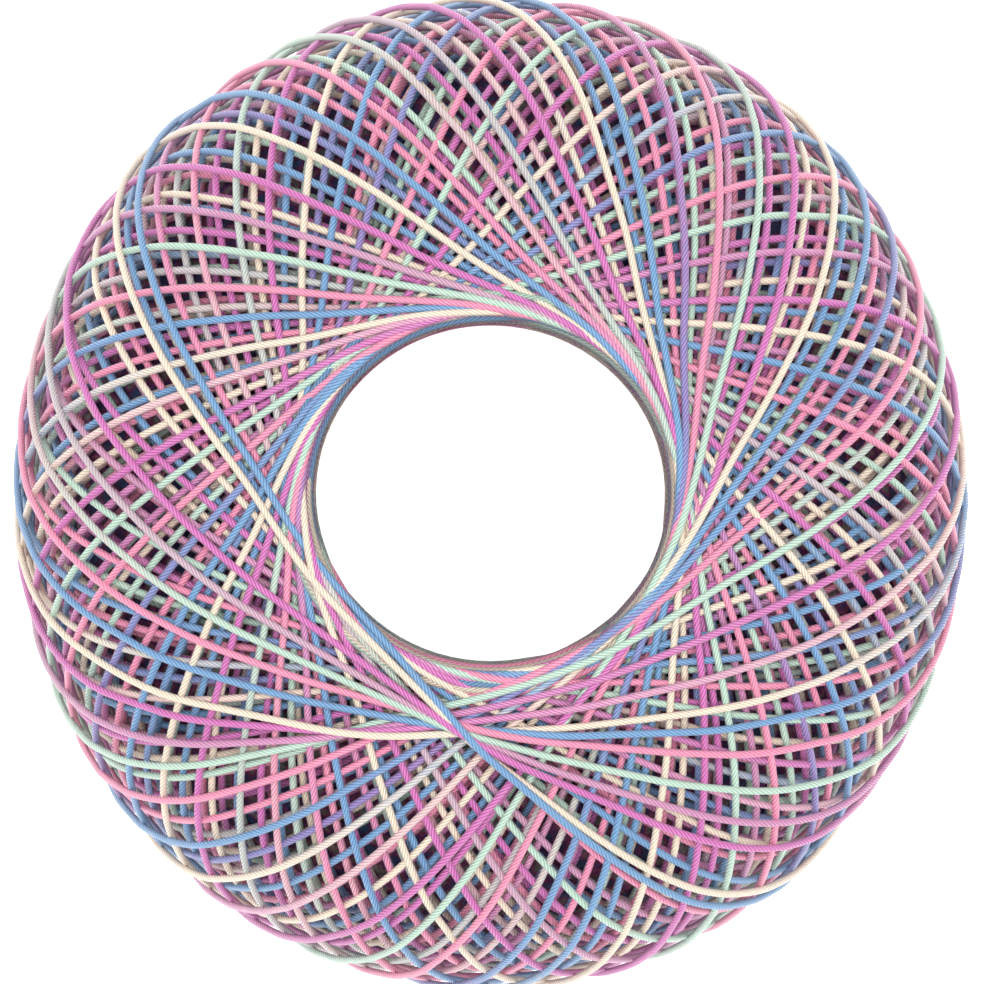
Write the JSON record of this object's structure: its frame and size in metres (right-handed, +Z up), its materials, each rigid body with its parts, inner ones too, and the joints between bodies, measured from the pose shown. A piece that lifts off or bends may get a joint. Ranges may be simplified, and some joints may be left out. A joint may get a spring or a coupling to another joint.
{
  "type": "ball of crochet thread",
  "caption": "Precision-wound ball of space-dyed crochet thread with an open bore, standing on one end, unwound from the outside as it is used.",
  "frame": {"origin": "middle of the flat spot that the ball stands on, on the axis of the bore", "axes": "+Z up along the bore; +X and +Y across the ball, with +Y along its slightly longer width"},
  "size_m": [0.0706, 0.0736, 0.054],
  "materials": {
    "cotton_thread": "mercerised cotton with a soft sheen, plied thread, space-dyed in short lengths of blue, cream, magenta, mint and pink"
  },
  "bodies": {
    "root": {"wound_ball": "cotton_thread"}
  },
  "joints": []
}
